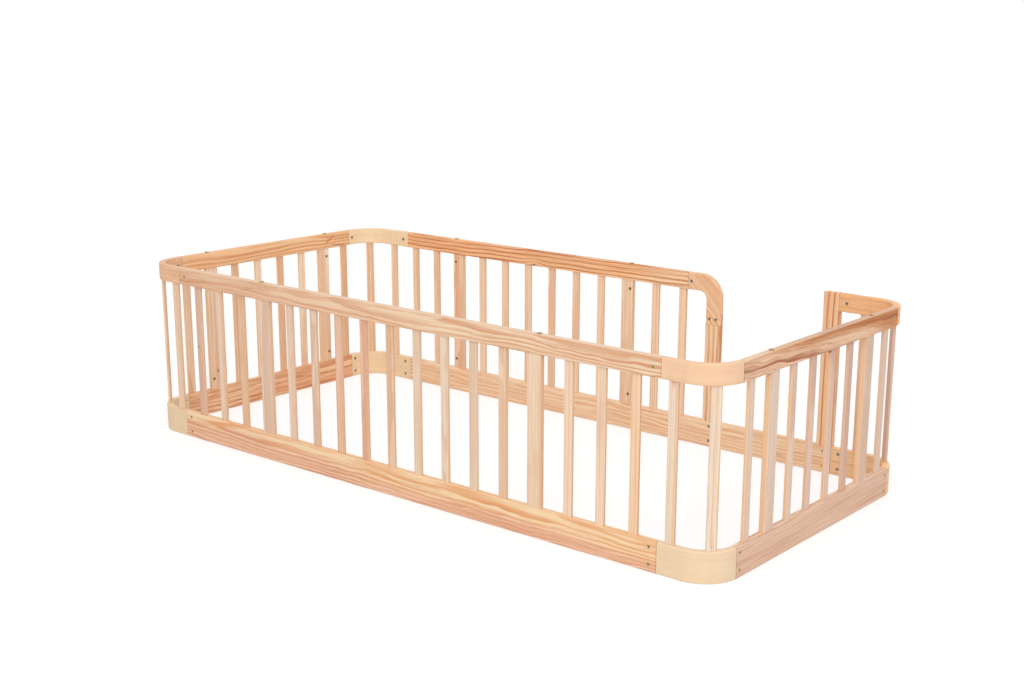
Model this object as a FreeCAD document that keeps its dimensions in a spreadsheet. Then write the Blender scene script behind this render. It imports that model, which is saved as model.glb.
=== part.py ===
import FreeCAD, Part
import math
import os

import Sketcher
from FreeCAD import Placement, Rotation, Vector

# A floor bed: a low slatted fence of pine that stands on the floor around a mattress.
# X runs along the long sides, Y from the closed front side to the back side with the
# doorway, Z up. The origin is on the floor, in the middle of the fence.

sizes = {
    # the mattress that lies inside, and the boards around it
    "mattressLength": 2000,
    "mattressWidth": 900,
    "mattressPlay": 6,
    "railThickness": 20,
    "bottomRailHeight": 78,
    "topRailHeight": 50,
    "frameHeight": 518,
    "edgeEase": 3,
    # bent corner blocks, and the half laps that join them to the rails
    "cornerRadius": 98,
    "longShoulder": 161,
    "longLap": 44.5,
    "shortShoulder": 90,
    "shortLap": 30,
    "seamGap": 0.4,
    # narrow slats, and the wide ones that brace the rails
    "slatWidth": 26,
    "slatThickness": 8.5,
    "slatEase": 2,
    "slatSeat": 12,
    "slatPlay": 0.2,
    "braceWidth": 42.5,
    "braceThickness": 15,
    # where the slats stand: the end ones, and the steps from one to the next
    "longEndInset": 130.7,
    "longEndStep": 103.3,
    "longBraceStep": 102.9,
    "shortEndInset": 138.5,
    "shortEndStep": 96,
    "shortBraceStep": 97.1,
    "doorSlatInset": 22.5,
    # the doorway in the back side
    "doorwayWidth": 332.5,
    "postWidth": 48,
    "postEase": 1.5,
    "tenonWidth": 36,
    "tenonThickness": 10,
    "tenonDepth": 66,
    "doorOuterRadius": 70,
    "doorInnerRadius": 25,
    "doorBlockReach": 111.5,
    "doorBlockDrop": 146,
    "doorRailLap": 21,
    "doorPostLap": 34,
    "doorBoltSpacing": 22,
    # through bolts with sleeve nuts, in the laps and tenons
    "lapBoltLow": 18.5,
    "lapBoltHigh": 62.5,
    "lapHeadRadius": 5.2,
    "lapHeadThickness": 1.6,
    "lapHeadSink": 0.2,
    "sleeveRadius": 4,
    "sleeveGap": 2.9,
    "sleeveFloor": 1.4,
    "lapShankRadius": 2.9,
    "lapSocketRadius": 2.3,
    "lapSocketDepth": 1,
    # upright bolts with barrel nuts, in the braces
    "braceBoltOffset": 11,
    "braceBoltLength": 80,
    "braceBoltRadius": 3,
    "braceHeadRadius": 6.3,
    "braceHeadThickness": 2.6,
    "braceSocketRadius": 2.4,
    "braceSocketDepth": 2,
    "counterboreRadius": 7,
    "barrelNutRadius": 4.9,
    "barrelNutFloor": 1.5,
    "barrelNutSlot": 1.2,
    "nutSetback": 4,
    "lowerNutHeight": 110,
    # slanting pins in slat ends
    "pinHeadRadius": 3,
    "pinHeadThickness": 1.2,
    "pinShankRadius": 1.4,
    "pinLength": 16,
    "pinSocketRadius": 1.6,
    "pinSocketDepth": 0.8,
    "pinSink": 1.6,
    "pinBelowTop": 4.5,
    "pinAboveBottom": 7.5,
    "pinOffset": 2,
    "fastenerPlay": 0.1,
    "boltHolePlay": 0.3,
    "cutMargin": 1,
}

doc = FreeCAD.newDocument("FloorBed")
sheet = doc.addObject("Spreadsheet::Sheet", "Sizes")
for row, (alias, size) in enumerate(sizes.items(), start=1):
    sheet.set(f"A{row}", alias)
    sheet.set(f"B{row}", str(size))
    sheet.setAlias(f"B{row}", alias)
doc.recompute()

subParts = []


def cell(alias):
    return f"Sizes.{alias}"


def number(expression):
    value = sheet.evalExpression(str(expression))
    return float(getattr(value, "Value", value))


# ---- sizes that follow from the driving ones ----

thickness = cell("railThickness")
frameTop = cell("frameHeight")
margin = cell("cutMargin")
play = cell("fastenerPlay")
halfLength = f"({cell('mattressLength')} / 2 + {cell('mattressPlay')} / 2 + {thickness})"
halfWidth = f"({cell('mattressWidth')} / 2 + {cell('mattressPlay')} / 2 + {thickness})"
topRailLow = f"({frameTop} - {cell('topRailHeight')})"
topRailMiddle = f"({frameTop} - {cell('topRailHeight')} / 2)"
levels = {"bottom": ("0", cell("bottomRailHeight")), "top": (topRailLow, frameTop)}
sideNames = {-1: "left", 1: "right"}
depthNames = {-1: "front", 1: "back"}

# faces and middles of the boards, measured from the middle of the fence
longInnerFace = f"({halfWidth} - {thickness})"
longMiddle = f"({halfWidth} - {thickness} / 2)"
shortInnerFace = f"({halfLength} - {thickness})"
shortMiddle = f"({halfLength} - {thickness} / 2)"

# the two seams of each half lap: the outer one, and the inner one further along
longOuterSeam = f"({halfLength} - {cell('longShoulder')})"
longInnerSeam = f"({longOuterSeam} - {cell('longLap')})"
shortOuterSeam = f"({halfWidth} - {cell('shortShoulder')})"
shortInnerSeam = f"({shortOuterSeam} - {cell('shortLap')})"

# the doorway, from the right post to the left one
rightPostLeft = f"({longInnerSeam} - {cell('postWidth')})"
leftPostRight = f"({rightPostLeft} - {cell('doorwayWidth')})"
leftPostLeft = f"({leftPostRight} - {cell('postWidth')})"
doorInnerSeam = f"({leftPostRight} - {cell('doorBlockReach')})"
doorOuterSeam = f"({doorInnerSeam} + {cell('doorRailLap')})"
doorBlockLow = f"({frameTop} - {cell('doorBlockDrop')})"
doorPostHigh = f"({doorBlockLow} + {cell('doorPostLap')})"

# slats along the long sides: equal steps fill what the ends and braces leave
longEnd = f"({halfLength} - {cell('longEndInset')})"
frontStep = f"(({longEnd} - {cell('longEndStep')} - 2 * {cell('longBraceStep')}) / 6)"
frontBrace = f"(4 * {frontStep} + {cell('longBraceStep')})"
frontOuter = f"({frontBrace} + {cell('longBraceStep')})"
doorSlat = f"({doorInnerSeam} - {cell('doorSlatInset')})"
backFirst = f"({cell('longEndStep')} - {longEnd})"
backStep = f"(({doorSlat} - {backFirst} - 4 * {cell('longBraceStep')}) / 7)"
backLeftBrace = f"({backFirst} + {backStep} + {cell('longBraceStep')})"
backMiddle = f"({backLeftBrace} + {cell('longBraceStep')})"
backRightBrace = f"({backMiddle} + 5 * {backStep} + {cell('longBraceStep')})"

# slats along the short sides
shortEnd = f"({halfWidth} - {cell('shortEndInset')})"
shortBrace = f"({shortEnd} - {cell('shortEndStep')})"
shortStep = f"(({shortBrace} - {cell('shortBraceStep')}) / 1.5)"

# the middle of a corner's bend, at half of its quarter turn
bendInset = f"({cell('cornerRadius')} - sqrt(0.5) * ({cell('cornerRadius')} - {thickness} / 2))"

slatLow = f"({cell('bottomRailHeight')} - {cell('slatSeat')})"
slatHigh = f"({topRailLow} + {cell('slatSeat')})"
upperNutHeight = f"({frameTop} - {cell('braceBoltLength')} + {cell('nutSetback')})"
lowerHeadHeight = f"({cell('lowerNutHeight')} + {cell('nutSetback')} - {cell('braceBoltLength')})"
nutLength = f"({cell('braceThickness')} - 2 * {cell('barrelNutFloor')})"
sleeveSpace = f"({thickness} - 2 * {cell('lapHeadSink')} - {cell('lapHeadThickness')})"
sleeveEnd = f"({sleeveSpace} - {cell('sleeveGap')})"
sleeveBoreLow = f"({cell('lapHeadThickness')} + {cell('sleeveFloor')})"


# ---- helpers ----

def spanning(name, corner, opposite):
    """A box between two opposite corners."""
    box = doc.addObject("Part::Box", name)
    for axis, side, one, other in zip("xyz", ("Length", "Width", "Height"), corner, opposite):
        box.setExpression(side, f"abs({one} - ({other}))")
        box.setExpression(f"Placement.Base.{axis}", f"min({one}; {other})")
    return box


def rod(name, radius, low, high):
    cylinder = doc.addObject("Part::Cylinder", name)
    cylinder.setExpression("Radius", radius)
    cylinder.setExpression("Height", f"{high} - ({low})")
    cylinder.setExpression("Placement.Base.z", low)
    return cylinder


def socket(name, radius, depth):
    prism = doc.addObject("Part::Prism", name)
    prism.Polygon = 6
    prism.setExpression("Circumradius", radius)
    prism.setExpression("Height", depth)
    return prism


def joined(name, parts):
    fuse = doc.addObject("Part::MultiFuse", name)
    fuse.Shapes = parts
    doc.recompute()
    return fuse


def without(name, base, tools):
    """The base less those tools that reach it."""
    doc.recompute()
    box = base.Shape.BoundBox
    reaching = [tool for tool in tools if box.intersect(tool.Shape.BoundBox)]
    if not reaching:
        return base
    cut = doc.addObject("Part::Cut", name)
    cut.Base = base
    cut.Tool = reaching[0] if len(reaching) == 1 else joined(name + "Tools", reaching)
    return cut


def rounded(name, base, radius, wanted):
    doc.recompute()
    fillet = doc.addObject("Part::Fillet", name)
    fillet.Base = base
    edges = enumerate(base.Shape.Edges, start=1)
    fillet.Edges = [(index, radius, radius) for index, edge in edges if wanted(edge)]
    return fillet


def near(first, second):
    return abs(first - second) < 0.001


def spans(edge):
    box = edge.BoundBox
    return {"x": box.XLength, "y": box.YLength, "z": box.ZLength}


def runsAlong(axis):
    def test(edge):
        others = [span for name, span in spans(edge).items() if name != axis]
        return max(others) < 0.001
    return test


def keep(label, subPart):
    subPart.Label = label
    subParts.append(subPart)


def keepGroup(label, members):
    group = doc.addObject("Part::Compound", label)
    group.Links = members
    keep(label, group)


def keepCopies(label, master, places):
    """Copies of one fastener at their places."""
    doc.recompute()
    copies = []
    for place in places:
        copied = master.Shape.copy()
        copied.Placement = place
        copies.append(copied)
    feature = doc.addObject("Part::Feature", label)
    feature.Shape = Part.makeCompound(copies)
    keep(label, feature)


def drillAt(master, place):
    drill = doc.addObject("Part::Feature", "Drill")
    drill.Shape = master.Shape
    drill.Placement = place
    return drill


def placeAt(position, direction, depth="0"):
    """Where a fastener's head comes, some depth along its way in."""
    direction = Vector(*direction).normalize()
    base = Vector(*(number(coordinate) for coordinate in position))
    return Placement(base + direction * number(depth), Rotation(Vector(0, 0, 1), direction))


# ---- fasteners, each pointing up Z with its head's outer face at zero ----

def sleeveNut():
    head = rod("SleeveHead", cell("lapHeadRadius"), "0", cell("lapHeadThickness"))
    barrel = rod("SleeveBarrel", cell("sleeveRadius"), "0", sleeveEnd)
    drive = socket("SleeveSocket", cell("lapSocketRadius"), cell("lapSocketDepth"))
    bore = rod("SleeveBore", f"{cell('lapShankRadius')} + {play}", sleeveBoreLow, sleeveEnd)
    return without("SleeveNut", joined("SleeveBody", [head, barrel]), [drive, bore])


def lapBolt():
    head = rod("LapHead", cell("lapHeadRadius"), "0", cell("lapHeadThickness"))
    reach = f"({thickness} - 2 * {cell('lapHeadSink')} - {sleeveBoreLow} - {play})"
    shank = rod("LapShank", cell("lapShankRadius"), "0", reach)
    drive = socket("LapSocket", cell("lapSocketRadius"), cell("lapSocketDepth"))
    return without("LapBolt", joined("LapBody", [head, shank]), [drive])


def lapDrill():
    """The hole right through the boards, from the outer face at zero to the inner one."""
    radius = f"{cell('lapHeadRadius')} + {play}"
    depth = f"({cell('lapHeadSink')} + {cell('lapHeadThickness')})"
    through = rod("LapThrough", f"{cell('sleeveRadius')} + {play}", "0", thickness)
    outer = rod("LapOuter", radius, f"0 - {margin}", depth)
    inner = rod("LapInner", radius, f"{thickness} - {depth}", f"{thickness} + {margin}")
    return joined("LapDrill", [through, outer, inner])


def braceBolt():
    under = cell("braceHeadThickness")
    head = rod("BraceHead", cell("braceHeadRadius"), "0", under)
    shank = rod("BraceShank", cell("braceBoltRadius"), "0", f"{under} + {cell('braceBoltLength')}")
    drive = socket("BraceSocket", cell("braceSocketRadius"), cell("braceSocketDepth"))
    return without("BraceBolt", joined("BraceBody", [head, shank]), [drive])


def barrelNut():
    """A short steel rod with a cross bore, its slotted end at zero."""
    radius = cell("barrelNutRadius")
    slot = cell("barrelNutSlot")
    body = rod("NutBody", radius, "0", nutLength)
    bore = rod("NutBore", f"{cell('braceBoltRadius')} + {play} / 2", f"0 - {radius} - {margin}",
               f"{radius} + {margin}")
    bore.Placement = Placement(Vector(0, 0, 0), Rotation(Vector(1, 0, 0), -90))
    bore.setExpression("Placement.Base.y", f"0 - {radius} - {margin}")
    bore.setExpression("Placement.Base.z", f"{nutLength} / 2")
    notch = spanning("NutSlot", (f"0 - {radius} - {margin}", f"0 - {slot} / 2", f"0 - {margin}"),
                     (f"{radius} + {margin}", f"{slot} / 2", slot))
    return without("BarrelNut", body, [bore, notch])


def pin():
    head = rod("PinHead", cell("pinHeadRadius"), "0", cell("pinHeadThickness"))
    shank = rod("PinShank", cell("pinShankRadius"), "0", cell("pinLength"))
    drive = socket("PinSocket", cell("pinSocketRadius"), cell("pinSocketDepth"))
    return without("Pin", joined("PinBody", [head, shank]), [drive])


def pinDrill():
    radius = f"({cell('pinHeadRadius')} + {play})"
    head = rod("PinHeadHole", radius, f"0 - 2 * {radius}", cell("pinHeadThickness"))
    shank = rod("PinShankHole", f"{cell('pinShankRadius')} + {play}", "0",
                f"{cell('pinLength')} + {play}")
    return joined("PinDrill", [head, shank])


# ---- where the fasteners sit ----

def lapSpots():
    """Each through bolt's place on the outer face, and its way in."""
    alongLong = f"({longOuterSeam} + {longInnerSeam}) / 2"
    alongShort = f"({shortOuterSeam} + {shortInnerSeam}) / 2"
    lowPair = (cell("lapBoltLow"), cell("lapBoltHigh"))
    spots = []
    for sideX in (-1, 1):
        for sideY in (-1, 1):
            for height in (*lowPair, topRailMiddle):
                onLong = (f"{sideX} * {alongLong}", f"{sideY} * {halfWidth}", height)
                onShort = (f"{sideX} * {halfLength}", f"{sideY} * {alongShort}", height)
                spots.append((onLong, (0, -sideY, 0)))
                spots.append((onShort, (-sideX, 0, 0)))
    inwards = (0, -1, 0)
    for left in (leftPostLeft, rightPostLeft):
        for height in lowPair:
            spots.append(((f"{left} + {cell('postWidth')} / 2", halfWidth, height), inwards))
    railLap = (f"({doorInnerSeam} + {doorOuterSeam}) / 2", halfWidth, topRailMiddle)
    spots.append((railLap, inwards))
    for side in (-1, 1):
        across = f"({leftPostLeft} + {leftPostRight} + {side} * {cell('doorBoltSpacing')}) / 2"
        spots.append(((across, halfWidth, f"({doorBlockLow} + {doorPostHigh}) / 2"), inwards))
    return spots


def braceSpots():
    """Each brace: its name, its middle, the way from it to its bolt, and the way inside."""
    spots = []
    for side in (-1, 1):
        front = (f"{side} * {frontBrace}", f"0 - {longMiddle}")
        spots.append((f"front_{sideNames[side]}", front, (side, 0), (0, 1)))
        for depth in (-1, 1):
            middle = (f"{side} * {shortMiddle}", f"{depth} * {shortBrace}")
            name = f"{sideNames[side]}_{depthNames[depth]}"
            spots.append((name, middle, (0, depth), (-side, 0)))
    spots.append(("back_left", (backLeftBrace, longMiddle), (-1, 0), (0, -1)))
    spots.append(("back_right", (backRightBrace, longMiddle), (1, 0), (0, -1)))
    return spots


def shifted(point, direction, distance):
    return tuple(f"{along} + {step} * {distance}" for along, step in zip(point, direction))


def pinSpots():
    """Each pin's place on a slat or brace, and its slanting way in, past a brace's bolt."""
    high = f"{topRailLow} - {cell('pinBelowTop')}"
    low = f"{cell('bottomRailHeight')} + {cell('pinAboveBottom')}"
    slatFace = f"{cell('slatThickness')} / 2"
    braceEdge = f"{cell('braceWidth')} / 2"
    sideBraces = {}
    for side in (-1, 1):
        middle = (f"{side} * ({shortMiddle} + {cell('pinOffset')})", f"0 - {shortBrace}")
        sideBraces[side] = shifted(middle, (0, -1), braceEdge)
    frontMiddle = (frontBrace, f"0 - {longMiddle} - {cell('pinOffset')}")
    rightEdge = shifted(frontMiddle, (1, 0), braceEdge)
    endSlat = shifted((longEnd, f"0 - {longMiddle}"), (0, -1), slatFace)
    sideSlat = shifted((shortMiddle, f"1.5 * {shortStep}"), (1, 0), slatFace)
    corner = (f"{halfLength} - {bendInset}", f"{bendInset} - {halfWidth}")
    cornerSlat = shifted(corner, (1, -1), f"sqrt(0.5) * {slatFace}")
    slant = math.sqrt(0.5)
    return [
        ((*endSlat, high), (0, 1, 1)),
        ((*sideSlat, high), (-1, 0, 1)),
        ((*sideBraces[1], high), (0.4, 1, 1)),
        ((*cornerSlat, low), (-slant, slant, -1.5)),
        ((*sideBraces[-1], low), (-0.4, 1, -1.5)),
        ((*rightEdge, low), (-1, -0.4, -1.5)),
    ]


# ---- slats and braces ----

def post(name, centre, turn, width, depth, low, high):
    """An upright with eased edges, turned about its own middle line."""
    cosine = round(math.cos(math.radians(turn)), 12)
    sine = round(math.sin(math.radians(turn)), 12)
    box = doc.addObject("Part::Box", name + "Blank")
    box.Placement = Placement(Vector(0, 0, 0), Rotation(Vector(0, 0, 1), turn))
    box.setExpression("Length", width)
    box.setExpression("Width", depth)
    box.setExpression("Height", f"{high} - {low}")
    acrossX = f"({cosine} * ({width}) - ({sine}) * ({depth})) / 2"
    acrossY = f"({sine} * ({width}) + ({cosine}) * ({depth})) / 2"
    box.setExpression("Placement.Base.x", f"{centre[0]} - {acrossX}")
    box.setExpression("Placement.Base.y", f"{centre[1]} - {acrossY}")
    box.setExpression("Placement.Base.z", low)
    return rounded(name, box, number(cell("slatEase")), runsAlong("z"))


def slat(name, centre, turn, slots):
    """A narrow slat, and the space for its ends in the rails."""
    width, depth = cell("slatWidth"), cell("slatThickness")
    slack = f"2 * {cell('slatPlay')}"
    slots.append(post(name + "_slot", centre, turn, f"{width} + {slack}", f"{depth} + {slack}",
                      slatLow, slatHigh))
    return post(name, centre, turn, width, depth, slatLow, slatHigh)


def slatBays():
    """The middles of the narrow slats by bay, and how far they are turned."""
    frontY = f"0 - {longMiddle}"
    bays = {"slats_front_middle": ([(f"{step} * {frontStep}", frontY) for step in range(-4, 5)], 0)}
    for side in (-1, 1):
        outer = [f"{frontOuter} + {step} * {frontStep}" for step in range(3)] + [longEnd]
        middles = [(f"{side} * ({along})", frontY) for along in outer]
        bays[f"slats_front_{sideNames[side]}"] = (middles, 0)
        across = f"{side} * {shortMiddle}"
        inner = [(across, f"{step} * {shortStep}") for step in (-1.5, -0.5, 0.5, 1.5)]
        bays[f"slats_{sideNames[side]}_middle"] = (inner, 90)
        for depth in (-1, 1):
            end = [(across, f"{depth} * {shortEnd}")]
            bays[f"slat_{sideNames[side]}_{depthNames[depth]}"] = (end, 90)
            label = f"slat_corner_{depthNames[depth]}_{sideNames[side]}"
            middle = (f"{side} * ({halfLength} - {bendInset})",
                      f"{depth} * ({halfWidth} - {bendInset})")
            bays[label] = ([middle], -45 * side * depth)
    backRows = {
        "slats_back_left": [f"0 - {longEnd}", backFirst, f"{backFirst} + {backStep}"],
        "slats_back_middle": [f"{backMiddle} + {step} * {backStep}" for step in range(6)],
        "slats_back_right": [f"{doorSlat} - {backStep}", doorSlat],
        "slat_back_return": [longEnd],
    }
    for label, row in backRows.items():
        bays[label] = ([(along, longMiddle) for along in row], 0)
    return bays


def makeSlats(slots, drills):
    for label, (middles, turn) in slatBays().items():
        members = []
        for index, middle in enumerate(middles, start=1):
            name = f"{label}_{index}"
            blank = slat(name, middle, turn, slots)
            members.append(without(name + "_drilled", blank, drills))
        if len(members) == 1:
            keep(label, members[0])
        else:
            keepGroup(label, members)


def makeBraces(drills):
    for name, middle, _, inside in braceSpots():
        label = f"brace_{name}"
        turn = 0 if inside[0] == 0 else 90
        blank = post(label + "_blank", middle, turn, cell("braceWidth"), cell("braceThickness"),
                     cell("bottomRailHeight"), topRailLow)
        keep(label, without(label, blank, drills))


def braceDrill(name, middle, outward, inside):
    """Bolt holes from below and above, and blind cross holes for the barrel nuts."""
    centre = shifted(middle, outward, cell("braceBoltOffset"))
    radius = f"{cell('braceBoltRadius')} + {cell('boltHolePlay')}"
    past = f"({cell('nutSetback')} + {margin})"
    lower = rod(f"{name}Lower", radius, f"0 - {margin}", f"{cell('lowerNutHeight')} + {past}")
    upper = rod(f"{name}Upper", radius, f"{upperNutHeight} - {past}", f"{frameTop} + {margin}")
    counterbore = rod(f"{name}Counterbore", cell("counterboreRadius"), f"0 - {margin}",
                      lowerHeadHeight)
    uprights = [lower, upper, counterbore]
    for tool in uprights:
        tool.setExpression("Placement.Base.x", centre[0])
        tool.setExpression("Placement.Base.y", centre[1])
    crosses = []
    mouth = shifted(centre, inside, f"({cell('braceThickness')} / 2 + {margin})")
    for height in (cell("lowerNutHeight"), upperNutHeight):
        cross = rod(f"{name}Cross", f"{cell('barrelNutRadius')} + {play}", "0",
                    f"{cell('braceThickness')} - {cell('barrelNutFloor')} + {margin}")
        outwards = Vector(-inside[0], -inside[1], 0)
        cross.Placement = Placement(Vector(0, 0, 0), Rotation(Vector(0, 0, 1), outwards))
        for axis, along in zip("xyz", (*mouth, height)):
            cross.setExpression(f"Placement.Base.{axis}", along)
        crosses.append(cross)
    return joined(f"{name}Drill", uprights + crosses)


def braceBoltPlaces():
    top, bottom = [], []
    headThickness = cell("braceHeadThickness")
    for _, middle, outward, _ in braceSpots():
        centre = shifted(middle, outward, cell("braceBoltOffset"))
        top.append(placeAt((*centre, f"{frameTop} + {headThickness}"), (0, 0, -1)))
        bottom.append(placeAt((*centre, f"{lowerHeadHeight} - {headThickness}"), (0, 0, 1)))
    return top, bottom


def barrelNutPlaces():
    """Each nut lies on its hole's floor, with the cross bore upright."""
    places = []
    for _, middle, outward, inside in braceSpots():
        centre = shifted(middle, outward, cell("braceBoltOffset"))
        centre = shifted(centre, inside, f"{nutLength} / 2")
        for height in (cell("lowerNutHeight"), upperNutHeight):
            base = Vector(*(number(along) for along in (*centre, height)))
            upright = Vector(0, 0, 1)
            outwards = Vector(-inside[0], -inside[1], 0)
            turned = Rotation(upright.cross(outwards), upright, outwards, "ZYX")
            places.append(Placement(base, turned))
    return places


# ---- rails and corner blocks ----

def longRail(level, side, rightEnd, rightShoulder, cutters):
    """A board along X, its inner half cleared past the shoulder at each end."""
    label = f"{level}_rail_{depthNames[side]}"
    low, high = levels[level]
    outer, inner = f"{side} * {halfWidth}", f"{side} * {longInnerFace}"
    leftEnd = f"({cell('seamGap')} - {longOuterSeam})"
    leftShoulder = f"({cell('seamGap')} - {longInnerSeam})"
    blank = spanning(label + "_blank", (leftEnd, outer, low), (rightEnd, inner, high))
    eased = rounded(label + "_eased", blank, number(cell("edgeEase")), runsAlong("x"))
    rebates = []
    for end, shoulder in ((f"{leftEnd} - {margin}", leftShoulder),
                          (f"{rightEnd} + {margin}", rightShoulder)):
        rebates.append(spanning(label + "_rebate",
                                (end, f"{side} * {longMiddle}", f"{low} - {margin}"),
                                (shoulder, f"{side} * ({longInnerFace} - {margin})",
                                 f"{high} + {margin}")))
    keep(label, without(label, eased, rebates + cutters))


def shortRail(level, side, cutters):
    """A board along Y, its inner half cleared past the shoulder at each end."""
    label = f"{level}_rail_{sideNames[side]}"
    low, high = levels[level]
    outer, inner = f"{side} * {halfLength}", f"{side} * {shortInnerFace}"
    end = f"({shortOuterSeam} - {cell('seamGap')})"
    shoulder = f"({shortInnerSeam} - {cell('seamGap')})"
    blank = spanning(label + "_blank", (outer, f"0 - {end}", low), (inner, end, high))
    eased = rounded(label + "_eased", blank, number(cell("edgeEase")), runsAlong("y"))
    rebates = []
    for depth in (-1, 1):
        rebates.append(spanning(label + "_rebate",
                                (f"{side} * {shortMiddle}", f"{depth} * ({end} + {margin})",
                                 f"{low} - {margin}"),
                                (f"{side} * ({shortInnerFace} - {margin})",
                                 f"{depth} * {shoulder}", f"{high} + {margin}")))
    keep(label, without(label, eased, rebates + cutters))


def bent(name, arms, axis, bends, ends):
    """Two arms joined, rounded at their outer and inner corner, and eased all along."""
    block = joined(name + "_square", arms)
    across = [other for other in "xyz" if other != axis]

    def atCorner(corner):
        def test(edge):
            middle = edge.BoundBox.Center
            places = [getattr(middle, other) for other in across]
            return runsAlong(axis)(edge) and all(map(near, places, corner))
        return test

    for tag, corner, radius in bends:
        block = rounded(f"{name}_{tag}", block, radius, atCorner(corner))

    def onLoop(edge):
        if spans(edge)[axis] > 0.001:
            return False
        middle = edge.BoundBox.Center
        return not any(spans(edge)[along] < 0.001 and near(getattr(middle, along), end)
                       for along, end in ends)

    return rounded(name + "_eased", block, number(cell("edgeEase")), onLoop)


def cornerBlock(level, sideX, sideY, cutters):
    """A block bent round the corner, its outer half cleared where the rails lap over it."""
    label = f"{level}_corner_{depthNames[sideY]}_{sideNames[sideX]}"
    low, high = levels[level]
    outerX, outerY = f"{sideX} * {halfLength}", f"{sideY} * {halfWidth}"
    innerX, innerY = f"{sideX} * {shortInnerFace}", f"{sideY} * {longInnerFace}"
    endX, endY = f"{sideX} * {longInnerSeam}", f"{sideY} * {shortInnerSeam}"
    arms = [spanning(label + "_long", (endX, outerY, low), (outerX, innerY, high)),
            spanning(label + "_short", (outerX, endY, low), (innerX, outerY, high))]
    outerRadius = number(cell("cornerRadius"))
    bends = (("outer", (number(outerX), number(outerY)), outerRadius),
             ("inner", (number(innerX), number(innerY)), outerRadius - number(thickness)))
    ends = (("x", number(endX)), ("y", number(endY)))
    block = bent(label, arms, "z", bends, ends)
    below, above = f"{low} - {margin}", f"{high} + {margin}"
    laps = [spanning(label + "_longLap",
                     (f"{sideX} * {longOuterSeam}", f"{sideY} * {longMiddle}", below),
                     (f"{sideX} * ({longInnerSeam} - {margin})",
                      f"{sideY} * ({halfWidth} + {margin})", above)),
            spanning(label + "_shortLap",
                     (f"{sideX} * {shortMiddle}", f"{sideY} * {shortOuterSeam}", below),
                     (f"{sideX} * ({halfLength} + {margin})",
                      f"{sideY} * ({shortInnerSeam} - {margin})", above))]
    keep(label, without(label, block, laps + cutters))


# ---- the doorway: two posts, and the bent block between the left one and the rail ----

def doorwayBlock(cutters):
    label = "doorway_block"
    arms = [spanning(label + "_across", (doorInnerSeam, halfWidth, topRailLow),
                     (leftPostRight, longInnerFace, frameTop)),
            spanning(label + "_down", (leftPostLeft, halfWidth, doorBlockLow),
                     (leftPostRight, longInnerFace, frameTop))]
    outerRadius, innerRadius = cell("doorOuterRadius"), cell("doorInnerRadius")
    bends = (("outer", (number(leftPostRight), number(frameTop)), number(outerRadius)),
             ("inner", (number(leftPostLeft), number(topRailLow)), number(innerRadius)))
    ends = (("x", number(doorInnerSeam)), ("z", number(doorBlockLow)))
    block = bent(label, arms, "y", bends, ends)
    beyond = f"{halfWidth} + {margin}"
    laps = [spanning(label + "_railLap",
                     (f"{doorInnerSeam} - {margin}", longMiddle, f"{topRailLow} - {margin}"),
                     (doorOuterSeam, beyond, f"{frameTop} + {margin}")),
            spanning(label + "_postLap",
                     (f"{leftPostLeft} - {margin}", longMiddle, f"{doorBlockLow} - {margin}"),
                     (f"{leftPostRight} + {margin}", beyond, doorPostHigh))]
    keep(label, without(label, block, laps + cutters))


def outline(body, name, corners, setback):
    """A rectangle (left, right, low, high) in the body's XZ plane, set back inwards."""
    sketch = body.newObject("Sketcher::SketchObject", name)
    plane = next(part for part in body.Origin.OriginFeatures if part.Role == "XZ_Plane")
    sketch.AttachmentSupport = [(plane, "")]
    sketch.MapMode = "FlatFace"
    sketch.setExpression("AttachmentOffset.Base.z", setback)
    left, right, low, high = [number(corner) for corner in corners]
    points = [Vector(left, low), Vector(right, low), Vector(right, high), Vector(left, high)]
    for start, end in zip(points, points[1:] + points[:1]):
        sketch.addGeometry(Part.LineSegment(start, end))
    for index, kind in enumerate(("Horizontal", "Vertical", "Horizontal", "Vertical")):
        sketch.addConstraint(Sketcher.Constraint("Coincident", index, 2, (index + 1) % 4, 1))
        sketch.addConstraint(Sketcher.Constraint(kind, index))
    edges = (("left", "DistanceX", 0), ("right", "DistanceX", 2),
             ("low", "DistanceY", 0), ("high", "DistanceY", 2))
    for (edge, kind, line), corner in zip(edges, corners):
        constraint = Sketcher.Constraint(kind, -1, 1, line, 1, number(corner))
        sketch.renameConstraint(sketch.addConstraint(constraint), edge)
        sketch.setExpression(f"Constraints.{edge}", corner)
    doc.recompute()
    return sketch


def pad(body, name, corners, depth, setback="0"):
    feature = body.newObject("PartDesign::Pad", name)
    feature.Profile = outline(body, name + "Outline", corners, setback)
    feature.setExpression("Length", depth)
    doc.recompute()


def postBody(name, left):
    """A body whose XZ plane is the back side's outer face, seen from inside."""
    body = doc.addObject("PartDesign::Body", name)
    body.setExpression("Placement.Base.x", left)
    body.setExpression("Placement.Base.y", halfWidth)
    return body


def easePost(body, name):
    """Rounds the long upright edges."""
    base = body.Tip
    long = number(frameTop) / 2
    edges = enumerate(base.Shape.Edges, start=1)
    chosen = [f"Edge{index}" for index, edge in edges
              if runsAlong("z")(edge) and edge.Length > long]
    feature = body.newObject("PartDesign::Fillet", name)
    feature.Base = (base, chosen)
    feature.setExpression("Radius", cell("postEase"))
    doc.recompute()


tenonEdges = (f"({cell('postWidth')} - {cell('tenonWidth')}) / 2",
              f"({cell('postWidth')} + {cell('tenonWidth')}) / 2")
tenonLow = f"({cell('bottomRailHeight')} - {cell('tenonDepth')})"
tenonSetback = f"({thickness} - {cell('tenonThickness')}) / 2"


def addTenon(body, name):
    corners = (*tenonEdges, tenonLow, cell("bottomRailHeight"))
    pad(body, name, corners, cell("tenonThickness"), tenonSetback)


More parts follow.
